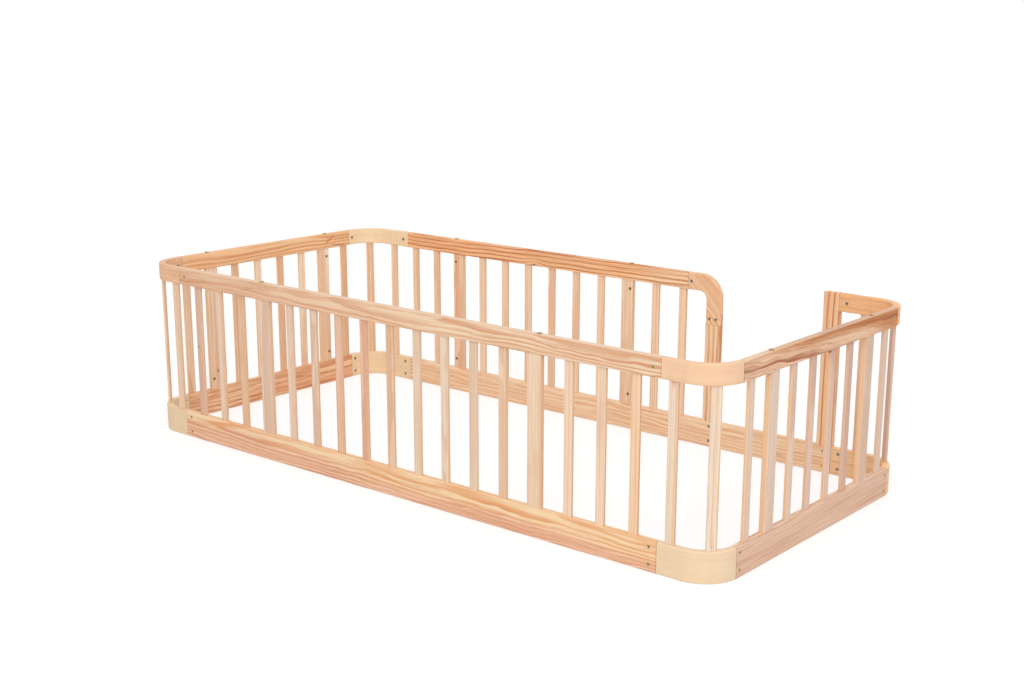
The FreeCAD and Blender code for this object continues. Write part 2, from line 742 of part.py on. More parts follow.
def mortise(name, left):
    """The space for a post's tenon, open to the top of the bottom rail."""
    slack = cell("slatPlay")
    start, end = tenonEdges
    near, far = tenonSetback, f"({tenonSetback} + {cell('tenonThickness')})"
    return spanning(name, (f"{left} + {start} - {slack}", f"{halfWidth} - {near} + {slack}",
                           tenonLow),
                    (f"{left} + {end} + {slack}", f"{halfWidth} - {far} - {slack}",
                     f"{cell('bottomRailHeight')} + {margin}"))


def leftPost(drills):
    """Its outer half goes on up behind the doorway block."""
    body = postBody("LeftPost", leftPostLeft)
    width = cell("postWidth")
    pad(body, "LeftPostBoard", ("0", width, cell("bottomRailHeight"), doorPostHigh), thickness)
    easePost(body, "LeftPostEase")
    addTenon(body, "LeftPostTenon")
    full = body.Tip.Shape.Volume
    feature = body.newObject("PartDesign::Pocket", "LeftPostLap")
    corners = (f"0 - {margin}", f"{width} + {margin}", doorBlockLow, f"{doorPostHigh} + {margin}")
    feature.Profile = outline(body, "LeftPostLapOutline", corners, f"{thickness} / 2")
    feature.Reversed = True
    feature.setExpression("Length", f"{thickness} / 2 + {margin}")
    doc.recompute()
    if body.Tip.Shape.Volume >= full:
        raise RuntimeError("the left post's lap cuts nothing")
    keep("doorway_post_left", without("doorway_post_left", body, drills))


def rightPost(drills):
    """Its outer half reaches out at the top, over the corner block's tongue."""
    body = postBody("RightPost", rightPostLeft)
    width = cell("postWidth")
    pad(body, "RightPostBoard", ("0", width, cell("bottomRailHeight"), frameTop), thickness)
    earEnd = f"{width} + {cell('longLap')} - {cell('seamGap')}"
    pad(body, "RightPostEar", (width, earEnd, topRailLow, frameTop), f"{thickness} / 2")
    easePost(body, "RightPostEase")
    addTenon(body, "RightPostTenon")
    keep("doorway_post_right", without("doorway_post_right", body, drills))


# ---- the whole fence ----

sleeveMaster, lapMaster, lapHole = sleeveNut(), lapBolt(), lapDrill()
braceBoltMaster, barrelMaster = braceBolt(), barrelNut()
pinMaster, pinHole = pin(), pinDrill()
doc.recompute()

sink = cell("lapHeadSink")
lapDrills = [drillAt(lapHole, placeAt(spot, way)) for spot, way in lapSpots()]
pinPlaces = [placeAt(spot, way, cell("pinSink")) for spot, way in pinSpots()]
pinDrills = [drillAt(pinHole, place) for place in pinPlaces]
braceDrills = [braceDrill("Brace", *spot[1:]) for spot in braceSpots()]
drills = lapDrills + pinDrills + braceDrills

slots = []
makeSlats(slots, pinDrills)
makeBraces(braceDrills + pinDrills)
slots += [mortise("LeftMortise", leftPostLeft), mortise("RightMortise", rightPostLeft)]

rightEnd = f"({longOuterSeam} - {cell('seamGap')})"
rightShoulder = f"({longInnerSeam} - {cell('seamGap')})"
longRail("bottom", -1, rightEnd, rightShoulder, slots + drills)
longRail("bottom", 1, rightEnd, rightShoulder, slots + drills)
longRail("top", -1, rightEnd, rightShoulder, slots + drills)
longRail("top", 1, f"({doorOuterSeam} - {cell('seamGap')})",
         f"({doorInnerSeam} - {cell('seamGap')})", slots + drills)
for level in levels:
    for sideX in (-1, 1):
        shortRail(level, sideX, slots + drills)
        for sideY in (-1, 1):
            cornerBlock(level, sideX, sideY, slots + drills)
doorwayBlock(lapDrills)
leftPost(lapDrills)
rightPost(lapDrills)

topPlaces, bottomPlaces = braceBoltPlaces()
sleevePlaces = [placeAt(spot, way, sink) for spot, way in lapSpots()]
boltPlaces = [placeAt(shifted(spot, way, f"({thickness} - {sink})"), [-step for step in way])
              for spot, way in lapSpots()]
keepCopies("sleeve_nuts", sleeveMaster, sleevePlaces)
keepCopies("lap_bolts", lapMaster, boltPlaces)
keepCopies("brace_bolts_top", braceBoltMaster, topPlaces)
keepCopies("brace_bolts_bottom", braceBoltMaster, bottomPlaces)
keepCopies("barrel_nuts", barrelMaster, barrelNutPlaces())
keepCopies("slat_pins", pinMaster, pinPlaces)

doc.recompute()
for made in doc.Objects:
    if "Invalid" in made.State or "Error" in made.State:
        raise RuntimeError(f"{made.Label} failed: {made.State}")
for subPart in subParts:
    if subPart.Shape.isNull() or not subPart.Shape.isValid():
        raise RuntimeError(f"{subPart.Label} has no valid shape")

os.makedirs("parts", exist_ok=True)
for subPart in subParts:
    subPart.Shape.exportStep(f"parts/{subPart.Label}.step")
print(len(subParts), "sub-parts written")
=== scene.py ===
import bpy
import math
from mathutils import Matrix, Vector


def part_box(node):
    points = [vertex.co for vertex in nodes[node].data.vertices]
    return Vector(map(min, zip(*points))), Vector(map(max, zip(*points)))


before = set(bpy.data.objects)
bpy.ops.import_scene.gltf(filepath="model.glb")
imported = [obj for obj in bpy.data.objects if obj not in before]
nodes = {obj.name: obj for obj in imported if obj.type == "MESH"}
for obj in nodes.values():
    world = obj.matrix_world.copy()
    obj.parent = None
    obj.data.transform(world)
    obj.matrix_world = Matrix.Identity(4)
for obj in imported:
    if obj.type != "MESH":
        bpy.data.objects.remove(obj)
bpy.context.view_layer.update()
print("frame loaded:", len(nodes), "nodes")


# a socket of a shader node, which can be used like a number
class Socket:
    def __init__(self, graph, output):
        self.graph = graph
        self.output = output

    def math(self, operation, *others):
        return self.graph.add("ShaderNodeMath", {"operation": operation}, [self, *others])

    def __add__(self, other):
        return self.math("ADD", other)

    def __sub__(self, other):
        return self.math("SUBTRACT", other)

    def __mul__(self, other):
        return self.math("MULTIPLY", other)

    def __truediv__(self, other):
        return self.math("DIVIDE", other)

    def __rsub__(self, other):
        return self.graph.add("ShaderNodeMath", {"operation": "SUBTRACT"}, [other, self])

    def __abs__(self):
        return self.math("ABSOLUTE")

    __radd__ = __add__
    __rmul__ = __mul__


# the nodes of one material, or of the world
class Graph:
    def __init__(self, owner):
        owner.use_nodes = True
        self.owner = owner
        self.tree = owner.node_tree
        self.tree.nodes.clear()

    def add(self, kind, settings=None, values=(), output=0):
        node = self.tree.nodes.new(kind)
        for name, value in (settings or {}).items():
            if name == "stops":
                ramp = node.color_ramp
                while len(ramp.elements) < len(value):
                    ramp.elements.new(0.5)
                for element, (position, colour) in zip(ramp.elements, value):
                    element.position = position
                    element.color = colour
            elif name == "interpolation":
                node.color_ramp.interpolation = value
            else:
                setattr(node, name, value)
        pairs = values.items() if isinstance(values, dict) else enumerate(values)
        for key, value in pairs:
            if isinstance(value, Socket):
                self.tree.links.new(value.output, node.inputs[key])
            else:
                node.inputs[key].default_value = value
        return Socket(self, node.outputs[output]) if node.outputs else None

    def outputs(self, socket, *names):
        return [Socket(self, socket.output.node.outputs[name]) for name in names]

    # the point on the piece, in mm
    def place(self):
        position = self.add("ShaderNodeTexCoord", output="Object")
        split = self.add("ShaderNodeSeparateXYZ", values=[position])
        return [axis * 1000 for axis in self.outputs(split, "X", "Y", "Z")]

    def vector(self, x, y, z):
        return self.add("ShaderNodeCombineXYZ", values=[x, y, z])

    def distance(self, *offsets):
        total = offsets[0] * offsets[0]
        for offset in offsets[1:]:
            total = total + offset * offset
        return total.math("SQRT")

    def noise(self, x, y, z, detail=2.0, roughness=0.5):
        return self.add("ShaderNodeTexNoise", values={
            "Vector": self.vector(x, y, z), "Scale": 1.0, "Detail": detail,
            "Roughness": roughness})

    def blend(self, factor, low, high):
        return self.add("ShaderNodeMix", {"data_type": "RGBA"}, {0: factor, 6: low, 7: high},
                        output=2)

    def tint(self, colour, brightness):
        grey = self.vector(brightness, brightness, brightness)
        return self.add("ShaderNodeMix", {"data_type": "RGBA", "blend_type": "MULTIPLY"},
                        {0: 1.0, 6: colour, 7: grey}, output=2)

    # 0 below low, 1 above high
    def step(self, value, low, high):
        return self.add("ShaderNodeMapRange", {"interpolation_type": "SMOOTHSTEP"}, {
            "Value": value, "From Min": low, "From Max": high, "To Min": 0.0, "To Max": 1.0})

    # and the other way round
    def fade(self, value, low, high):
        return 1 - self.step(value, low, high)

    # 1 where the camera sees it straight, in metal or through glass
    def seen(self):
        camera = self.add("ShaderNodeLightPath", output="Is Camera Ray")
        glossy, clear = self.outputs(camera, "Is Glossy Ray", "Is Transmission Ray")
        return camera.math("MAXIMUM", glossy).math("MAXIMUM", clear)

    def finish(self, colour, roughness, bump, height, shine=0.5, metal=0.0):
        relief = self.add("ShaderNodeBump", values={
            "Height": bump, "Strength": 0.6, "Distance": height})
        surface = self.add("ShaderNodeBsdfPrincipled", values={
            "Base Color": colour, "Roughness": roughness, "Normal": relief,
            "Specular IOR Level": shine, "Metallic": metal})
        self.add("ShaderNodeOutputMaterial", values={"Surface": surface})
        return self.owner


# colours are written 0 to 255, as a paint program shows them
def paint(red, green, blue):
    def decode(level):
        level /= 255
        return level / 12.92 if level <= 0.04045 else ((level + 0.055) / 1.055) ** 2.4
    return (decode(red), decode(green), decode(blue), 1.0)


def material(name):
    return Graph(bpy.data.materials.new(name))


def wear(name, finished):
    slots = nodes[name].data.materials
    slots.clear()
    slots.append(finished)


board = {
    "grain": "x",              # the axis that the grain follows
    "centre": (0, 0),          # mm, the middle of the board across the grain: depth, then height
    "pale": (238, 200, 160),   # between the rings
    "dark": (222, 160, 110),   # the late wood of a ring
    "flush": (233, 176, 140),  # a warmer tone in broad patches
    "deep": None,              # the late wood in those patches, where it differs
    "patches": 0.35,           # how much of it
    "rise": 0.0,               # and how much more of it per mm up the board
    "slide": 0.0,              # and per mm along it
    "ring": 6.5,               # mm from ring to ring
    "early": 0.25,             # the share of a ring that stays pale
    "late": 0.93,              # the share of a ring where its dark part ends
    "pith": (60, 10),          # mm from the board's middle to the heart of the log
    "lean": (20, 0),           # mm per metre that the heart leans away
    "wander": 12,              # mm that the rings wander
    "ripple": 3,               # mm of shorter waves
    "strength": 0.8,           # how strongly the rings show
    "streaks": 0.3,            # how strongly the soft streaks show
    "threads": 0.35,           # how strongly the thin lines show
    "sharp": (0.48, 0.6),      # how sharp they are
    "fine": 0.24,              # how many of them there are, per mm
    "straight": False,         # whether they run straight, or follow the rings
    "relief": 0.00015,         # m, how deep the grain is
    "paintedTopLight": 0.0,                # painted light: how much paler the top face is
    "knots": (),               # each: along, across, radius in mm
    "marks": (),               # dark pockets: along, across, half length, half height in mm, slope
    "seams": (),               # where a joint's shadow crosses the board, mm along the grain
    "seed": 0.0,
}

# each pattern in the wood: how often it repeats per metre along the grain, its shift,
# how often it repeats per mm across the grain, its finer layers and their roughness
patterns = {
    "wander": (2.2, 0.0, 0.012, 1.0, 0.5),
    "sway": (2.9, 7.3, 0.01, 1.0, 0.5),
    "ripple": (11, 0.0, 0.05, 1.0, 0.5),
    "streak": (4, 0.0, 0.13, 4.0, 0.62),
    "fibre": (9, 0.0, 0.7, 3.0, 0.6),
}

# what covers the wood in places, and the painted shade in a joint's gap: its tone, and how much it
# covers
stainsAndShade = {
    "knot": ((150, 88, 48), 0.85),
    "smallKnot": ((150, 92, 52), 0.8),
    "mark": ((164, 84, 46), 0.6),
    # painted shade in the gap where a joint crosses the board
    "jointShadow": ((120, 78, 48), 0.7),
}


# lays a stain over the colour, and at a joint its painted shade
def stainAndShade(graph, colour, amount, kind):
    tone, cover = stainsAndShade[kind]
    return graph.blend(amount * cover, colour, paint(*tone))


# the rings round the heart of a log, and the streaks, thin lines and fibres along the grain
def growth(graph, along, depth, across, look, seed):
    run = along * 0.001 + seed

    def pattern(name):
        often, shift, close, detail, roughness = patterns[name]
        return graph.noise(run * often + shift, depth * close, across * close, detail, roughness)

    wander = pattern("wander")
    aside = depth - look["centre"][0] - look["pith"][0] - along * (look["lean"][0] / 1000)
    above = across - look["centre"][1] - look["pith"][1] - along * (look["lean"][1] / 1000)
    aside = aside + (wander - 0.5) * (2 * look["wander"])
    above = above + (pattern("sway") - 0.5) * (2 * look["wander"])
    above = above + (pattern("ripple") - 0.5) * (2 * look["ripple"])
    radius = graph.distance(aside, above)
    # the rings bend round a knot, which is longer along the grain
    knot = None
    for knotAlong, knotAcross, knotRadius in look["knots"]:
        away = graph.distance((along - knotAlong) * 0.6, across - knotAcross)
        bend = (away * (-1 / (2.2 * knotRadius))).math("EXPONENT")
        radius = radius + bend * (1.6 * look["ring"])
        spot = graph.fade(away, 0.45 * knotRadius, knotRadius)
        knot = spot if knot is None else knot.math("MAXIMUM", spot)
    # each ring darkens slowly and ends sharply
    ring = (radius / look["ring"]).math("FRACT")
    early, late = look["early"], look["late"]
    dark = graph.step(ring, early, early + 0.8 * (late - early)) * graph.fade(ring, late, 1.0)
    fine = look["fine"]
    thread = [run * 3, radius * fine, across * 0.05]
    if look["straight"]:
        thread = [run * 1.5, depth * fine, across * fine]
    return {
        "rings": dark, "wander": wander, "knot": knot,
        "streak": pattern("streak"), "fibre": pattern("fibre"),
        "thread": graph.noise(*thread, detail=3.0, roughness=0.6),
    }


# how strongly the rings, the soft streaks and the thin lines show together
def lineWork(graph, wood, rings, look):
    lines = rings * look["strength"]
    lines = lines.math("MAXIMUM", graph.step(wood["streak"], 0.46, 0.74) * look["streaks"])
    thin = graph.step(wood["thread"], *look["sharp"]) * look["threads"]
    return lines + thin * (1 - lines)


def planed(graph, wood, colour, look):
    return graph.finish(colour, wood["fibre"] * 0.14 + 0.5,
                        wood["fibre"] * 0.6 - wood["rings"] * 0.4, look["relief"], shine=0.35)


def pine(name, changes):
    look = {**board, **changes}
    graph = material(name + "_pine")
    x, y, z = graph.place()
    diagonal = math.sqrt(0.5)
    along, depth, across = {
        "x": (x, y, z), "y": (y, x, z), "z": (z, y, x),
        "slant": ((x - z) * diagonal, y, (x + z) * diagonal)}[look["grain"]]
    wood = growth(graph, along, depth, across, look, look["seed"])
    height = across - look["centre"][1]
    warm = wood["wander"] + height * look["rise"] + along * look["slide"]
    warm = graph.step(warm, 0.35, 0.75) * look["patches"]
    ground = graph.blend(warm, paint(*look["pale"]), paint(*look["flush"]))
    uneven = graph.step(graph.noise(along * 0.004, depth * 0.03, across * 0.03), 0.3, 0.7)
    lines = lineWork(graph, wood, wood["rings"] * (uneven * 0.5 + 0.5), look)
    dark = paint(*look["dark"])
    if look["deep"]:
        dark = graph.blend(warm, dark, paint(*look["deep"]))
    colour = graph.blend(lines, ground, dark)
    colour = graph.tint(colour, wood["fibre"] * 0.18 + 0.91)
    # painted light: the top face is painted paler
    if look["paintedTopLight"]:
        top = max(corner[2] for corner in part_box(name)) * 1000
        paintedTopLightMask = graph.step(z, top - 2.2, top - 0.6)
        colour = graph.blend(paintedTopLightMask * look["paintedTopLight"], colour, paint(232, 208, 182))
    if wood["knot"] is not None:
        colour = stainAndShade(graph, colour, wood["knot"], "knot")
    for markAlong, markAcross, markLength, markHeight, slope in look["marks"]:
        offAlong = along - markAlong
        offAcross = across - markAcross - offAlong * slope
        away = graph.distance(offAlong / markLength, offAcross / markHeight)
        colour = stainAndShade(graph, colour, graph.fade(away, 0.3, 1.0), "mark")
    # painted shade along each joint that crosses the board
    for jointShadow in look["seams"]:
        colour = stainAndShade(graph, colour, graph.fade(abs(along - jointShadow), 0.4, 1.1), "jointShadow")
    return planed(graph, wood, colour, look)


rails = {
    "bottom_rail_front": {
        "centre": (-463, 39), "pith": (24, 32), "ring": 9, "early": 0.3, "lean": (-20, 6),
        "wander": 13, "ripple": 7, "strength": 0.85, "pale": (242, 212, 172),
        "dark": (222, 150, 90), "flush": (238, 194, 164), "deep": (204, 136, 98),
        "patches": 0.9, "rise": -0.009, "streaks": 0.4, "threads": 0.45, "seed": 1.3,
        "seams": (-861.6, 861.6)},
    "top_rail_front": {
        "centre": (-463, 493), "pith": (26, 20), "ring": 8.5, "lean": (-16, 8), "wander": 12,
        "ripple": 7, "strength": 0.9, "pale": (237, 211, 179), "dark": (206, 144, 102),
        "flush": (229, 186, 154), "patches": 0.8, "slide": -0.0004, "streaks": 0.5, "paintedTopLight": 0.6,
        "threads": 0.45, "seed": 4.1, "seams": (-861.6, 861.6)},
    # painted light: the back rails' tones are lighter, against the shade on the far side
    "bottom_rail_back": {
        "centre": (463, 39), "pith": (-30, 44), "ring": 11, "lean": (12, -8), "wander": 18,
        "ripple": 7, "strength": 0.6, "pale": (250, 220, 184), "dark": (222, 150, 100),
        "flush": (242, 194, 158), "streaks": 0.5, "threads": 0.45, "seed": 7.7,
        "marks": ((640, 24, 42, 2.5, 0),), "seams": (-817.1, 817.1)},
    "top_rail_back": {
        "centre": (463, 493), "pith": (-8, 60), "ring": 13, "early": 0.55, "lean": (3, 10),
        "wander": 7, "strength": 1.0, "pale": (254, 220, 178), "dark": (192, 100, 46),
        "flush": (248, 182, 124), "patches": 0.7, "slide": -0.0004, "streaks": 0.5,
        "threads": 0.4, "seed": 2.9, "knots": ((-262, 470, 6),), "seams": (-817.1, 325.1)},
    "bottom_rail_left": {
        "grain": "y", "centre": (-1013, 39), "pith": (30, 34), "ring": 14, "early": 0.4,
        "lean": (16, 10), "wander": 18, "ripple": 8, "strength": 0.6, "pale": (252, 214, 170),
        "dark": (196, 102, 54), "flush": (238, 166, 122), "patches": 0.7, "streaks": 0.75,
        "threads": 0.4, "seed": 5.5,
        "marks": ((-128, 22, 60, 4, 0), (96, 50, 40, 3, 0)), "seams": (-352.6, 352.6)},
    "top_rail_left": {
        "grain": "y", "centre": (-1013, 493), "pith": (30, 22), "ring": 10, "lean": (-12, 8),
        "wander": 12, "strength": 0.7, "pale": (248, 204, 156), "dark": (208, 128, 70),
        "flush": (238, 178, 130), "streaks": 0.5, "threads": 0.4, "seed": 9.2,
        "marks": ((262, 498, 30, 5, 0.6), (300, 476, 45, 4, -0.1)), "seams": (-352.6, 352.6)},
    "bottom_rail_right": {
        "grain": "y", "centre": (1013, 39), "pith": (-16, 76), "ring": 6, "early": 0.4,
        "lean": (5, 16), "wander": 9, "strength": 0.4, "pale": (234, 202, 174),
        "dark": (192, 130, 98), "flush": (226, 184, 156), "streaks": 0.4, "threads": 0.5,
        "fine": 0.4, "seed": 3.3, "seams": (-382.6, 382.6)},
    "top_rail_right": {
        "grain": "y", "centre": (1013, 493), "pith": (-10, 149), "ring": 43, "early": 0.7,
        "lean": (0, -50), "wander": 7, "ripple": 9, "strength": 1.0, "pale": (238, 196, 162),
        "dark": (164, 86, 36), "flush": (206, 138, 84), "patches": 1.0, "rise": 0.015,
        "slide": 0.0012, "streaks": 0.35, "threads": 0.4, "paintedTopLight": 0.5, "seed": 6.4,
        "seams": (-382.6, 382.6)},
    "doorway_post_left": {
        "grain": "z", "centre": (463, 412), "pith": (12, -58), "ring": 14, "early": 0.45,
        "lean": (8, 4), "wander": 5, "strength": 1.0, "pale": (246, 212, 174),
        "dark": (212, 136, 78), "threads": 0.3, "seed": 8.1, "seams": (372,)},
    "doorway_post_right": {
        "grain": "z", "centre": (463, 790), "pith": (10, 62), "ring": 15, "early": 0.5,
        "lean": (5, 4), "wander": 4, "strength": 1.0, "pale": (248, 210, 168),
        "dark": (204, 118, 58), "threads": 0.3, "seed": 8.8},
    "doorway_block": {
        "grain": "slant", "centre": (463, 640), "pith": (20, -20), "ring": 12, "lean": (10, 20),
        "wander": 12, "ripple": 4, "strength": 0.6, "pale": (244, 206, 166),
        "dark": (220, 146, 96), "flush": (238, 186, 146), "streaks": 0.35, "seed": 12.4},
}
for name, changes in rails.items():
    wear(name, pine(name, changes))
print("rails and doorway finished")


bentPiece = {
    "pale": (232, 206, 172),
    "dark": (224, 186, 142),
    "lines": 0.25,             # how strongly the thin layers show
    "clouds": 0.15,            # how strongly the soft spots show
    "seed": 0.0,
}


# the layers follow the bend, so they only depend on the height and on a slow drift
def bentWood(name, changes):
    look = {**bentPiece, **changes}
    graph = material(name + "_wood")
    x, y, z = graph.place()
    seed = look["seed"]
    drift = graph.noise(x * 0.006 + seed, y * 0.006, z * 0.01, detail=1.0)
    layers = graph.noise(drift * 1.4 + seed, x * 0.004 + y * 0.004, z * 0.16, detail=3.0,
                         roughness=0.55)
    cloud = graph.noise(x * 0.05, y * 0.05, z * 0.012 + seed)
    fibre = graph.noise(x * 0.02, y * 0.02, z * 0.7, detail=3.0, roughness=0.6)
    lines = graph.step(layers, 0.42, 0.66) * look["lines"]
    lines = lines + graph.step(cloud, 0.4, 0.7) * look["clouds"]
    colour = graph.blend(lines, paint(*look["pale"]), paint(*look["dark"]))
    colour = graph.tint(colour, fibre * 0.1 + 0.95)
    return graph.finish(colour, fibre * 0.12 + 0.46, fibre, 0.0001, shine=0.4)


corners = {
    "bottom_corner_front_right": {},
    "bottom_corner_front_left": {"pale": (232, 204, 168), "seed": 3.0},
    "bottom_corner_back_left": {"pale": (247, 218, 178), "seed": 5.0},
    "top_corner_back_left": {"pale": (246, 218, 178), "seed": 6.0},
    "top_corner_front_right": {"pale": (234, 196, 160), "dark": (226, 176, 134), "seed": 7.0},
    "top_corner_front_left": {"pale": (232, 186, 146), "dark": (216, 162, 118), "lines": 0.6,
                              "seed": 8.0},
    "top_corner_back_right": {"pale": (242, 188, 138), "dark": (226, 160, 106), "lines": 0.6,
                              "seed": 9.0},
    "bottom_corner_back_right": {"pale": (250, 206, 158), "dark": (222, 164, 116), "lines": 0.6,
                                 "seed": 10.0},
}
for name, changes in corners.items():
    wear(name, bentWood(name, changes))
print("corner blocks finished")


slat = {
    "width": 26,               # mm
    "pitches": {"x": 97.2, "y": 94.2},  # mm from slat to slat in a long and in a short side
    # what differs from the board's values
    "wood": {
        "pith": (0, 0), "ring": 9, "lean": (6, 3), "wander": 5, "strength": 0.6,
        "threads": 0.55, "sharp": (0.5, 0.6), "fine": 0.3, "straight": True,
        "relief": 0.00012},
    # mm that the slats' places in the log differ by, and the log's heart from their middle
    "spread": (110, 90),
    "heart": 30,
    # the sides' tone, warmer and darker than the faces and reaching a little onto them along the
    # edges: partly the wood's own tone, partly painted shade of the sides; and how much of it
    "sideToneAndShade": {"x": (226, 182, 142), "y": (242, 196, 148)},
    "edge": 0.6,
    # each tone: between the rings, and in the rings
    "tones": {
        "lilac": ((228, 195, 174), (204, 156, 130)),
        "pale": ((232, 206, 184), (210, 168, 140)),
        "salmon": ((234, 194, 167), (210, 152, 120)),
        "peach": ((235, 203, 174), (210, 162, 126)),
        "cream": ((234, 212, 189), (214, 178, 146)),
        "sand": ((237, 210, 183), (216, 172, 138)),
        "gold": ((240, 206, 172), (217, 162, 118)),
        "rose": ((228, 196, 177), (204, 160, 135)),
        "shell": ((229, 204, 184), (210, 173, 147)),
        "tan": ((246, 213, 182), (216, 158, 114)),
        "wheat": ((249, 225, 198), (226, 173, 130)),
        # painted light: the two tones of the back pieces are lighter, against the shade on the far
        # side
        "amberPaintedLight": ((247, 213, 180), (222, 162, 120)),
        "honeyPaintedLight": ((246, 215, 184), (225, 175, 138)),
    },
    # small knots: along the row, height and radius in mm
    "knots": {
        "slats_front_left": (-795, 287, 4),
        "brace_left_front": (-234, 134, 5),
        "slats_right_middle": (34, 463, 3),
    },
}


# one tone for each slat in a row; a row starts at its first slat's middle
def slatWood(name, axis, first, tones, pitch, width, seed):
    graph = material(name + "_pine")
    x, y, z = graph.place()
    run = x if axis == "x" else y
    which = ((run - first) / pitch + 0.5).math("FLOOR")
    place = (which + 0.5) / len(tones)
    pale, dark = [graph.add("ShaderNodeValToRGB", {
        "interpolation": "CONSTANT",
        "stops": [(index / len(tones), paint(*slat["tones"][tone][part]))
                  for index, tone in enumerate(tones)]}, [place]) for part in (0, 1)]
    chance = graph.add("ShaderNodeTexWhiteNoise", {"noise_dimensions": "1D"}, {"W": which + seed},
                       output="Color")
    split = graph.add("ShaderNodeSeparateColor", values=[chance])
    red, green, blue = graph.outputs(split, "Red", "Green", "Blue")
    off = run - first - which * pitch
    offX, offY = (off, y) if axis == "x" else (x, off)
    depth = offX + (red - 0.5) * slat["spread"][0]
    across = offY + (green - 0.5) * slat["spread"][1] + slat["heart"]
    look = {**board, **slat["wood"]}
    wood = growth(graph, z, depth, across, look, blue * 40 + seed)
    colour = graph.blend(lineWork(graph, wood, wood["rings"], look), pale, dark)
    # partly painted shade: the sides, and a strip along the edges, take the warmer, darker tone
    sideToneAndShadeMask = graph.step(abs(off), width / 2 - 1.7, width / 2 - 0.3) * (red * 0.9 + 0.5)
    colour = graph.blend(sideToneAndShadeMask * slat["edge"], colour, paint(*slat["sideToneAndShade"][axis]))
    colour = graph.tint(colour, wood["fibre"] * 0.16 + 0.92)
    if name in slat["knots"]:
        knotRun, knotHeight, knotRadius = slat["knots"][name]
        away = graph.distance(run - knotRun, (z - knotHeight) * 0.6)
        spot = graph.fade(away, 0.3 * knotRadius, knotRadius)
        colour = stainAndShade(graph, colour, spot, "smallKnot")
    return planed(graph, wood, colour, look)


rows = {
    # the axis of the row, its first slat's middle in mm, and the tones
    "slats_front_left": ("x", -892.3, ["peach", "lilac", "pale", "peach"]),
    "slats_front_middle": ("x", -388.8, ["pale", "pale", "salmon", "salmon", "peach", "cream",
                                         "cream", "cream", "sand"]),
    "slats_front_right": ("x", 594.6, ["sand", "sand", "gold", "cream"]),
    # the back rows wear the lighter tones, as painted light against the shade on the far side
    "slats_back_left": ("x", -892.3, ["amberPaintedLight", "honeyPaintedLight", "amberPaintedLight"]),
    "slats_back_middle": ("x", -486.0, ["honeyPaintedLight", "honeyPaintedLight", "honeyPaintedLight", "honeyPaintedLight", "honeyPaintedLight", "amberPaintedLight"]),
    "slats_back_right": ("x", 205.8, ["amberPaintedLight", "amberPaintedLight"]),
    "slat_back_return": ("x", 892.3, ["amberPaintedLight"]),
    "slats_left_middle": ("y", -141.3, ["tan", "wheat", "tan", "wheat"]),
    "slat_left_front": ("y", -334.4, ["tan"]),
    "slat_left_back": ("y", 334.4, ["gold"]),
    "slats_right_middle": ("y", -141.3, ["shell", "rose", "rose", "rose"]),
    "slat_right_front": ("y", -334.4, ["shell"]),
    "slat_right_back": ("y", 334.4, ["shell"]),
}
for index, (name, (axis, first, tones)) in enumerate(rows.items()):
    wear(name, slatWood(name, axis, first, tones, slat["pitches"][axis], slat["width"],
                        seed=index * 1.7))

# slats that stand by themselves, each with its tone
braces = {
    "brace_front_left": "pale", "brace_front_right": "sand",
    # the back braces wear the lighter tones too, as painted light
    "brace_back_left": "amberPaintedLight", "brace_back_right": "honeyPaintedLight",
    "brace_left_front": "tan", "brace_left_back": "wheat",
    "brace_right_front": "shell", "brace_right_back": "shell",
    "slat_corner_front_left": "peach", "slat_corner_front_right": "cream",
    "slat_corner_back_left": "gold", "slat_corner_back_right": "rose",
}
alongX = ("brace_front", "brace_back", "slat_corner")
for index, (name, tone) in enumerate(braces.items()):
    low, high = [Vector(corner) * 1000 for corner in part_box(name)]
    axis = "x" if name.startswith(alongX) else "y"
    side = "xyz".index(axis)
    middle, width = (low[side] + high[side]) / 2, high[side] - low[side]
    # the pitch is far wider than the slat, so the row holds this one alone
    wear(name, slatWood(name, axis, middle, [tone], 500.0, width, seed=40 + index * 2.3))
print("slats and braces finished")


fasteners = {
    # tone, roughness, how worn, how much of a metal, and where the painted shade of the drive
    # recess lies
    "sleeve_nuts": ((206, 182, 118), 0.34, 0.5, 1.0, "outer"),
    "lap_bolts": ((172, 164, 152), 0.3, 0.5, 1.0, "inner"),
    "brace_bolts_top": ((192, 180, 130), 0.36, 0.4, 1.0, "top"),
    "brace_bolts_bottom": ((192, 180, 130), 0.36, 0.4, 1.0, None),
    "barrel_nuts": ((150, 108, 62), 0.42, 0.6, 1.0, None),
    "slat_pins": ((250, 250, 252), 0.2, 0.0, 0.4, "pins"),
}
# where each drive recess is painted dark, as painted shade
recessShadeZones = {
    # the frame's outer and inner faces in mm, and where a recess, with its painted shade, starts
    # from them
    "outer": ((473, 1023), (-0.9, -0.6)),
    "inner": ((453, 1003), (0.6, 0.9)),
    # the height of its floor in mm; below it the socket and the head's lower side are painted dark
    # as painted shade
    "top": (518.65, 518.8),
    # its radius in mm, and the middle of each head
    "pins": ((1.3, 1.7), [
        (892.3, -466.1, 464.6), (1016.1, 141.4, 464.6), (1015.4, -258.7, 464.6),
        (989.6, -439.6, 84.2), (-1015.3, -258.9, 84.2), (512.1, -465.3, 84.2)]),
}
metal = {
    "worn": (90, 80, 62),
    # painted shade in the drive recesses
    "recessShade": (34, 32, 30),
    "relief": 0.00003,         # m, how deep the speckle is
}


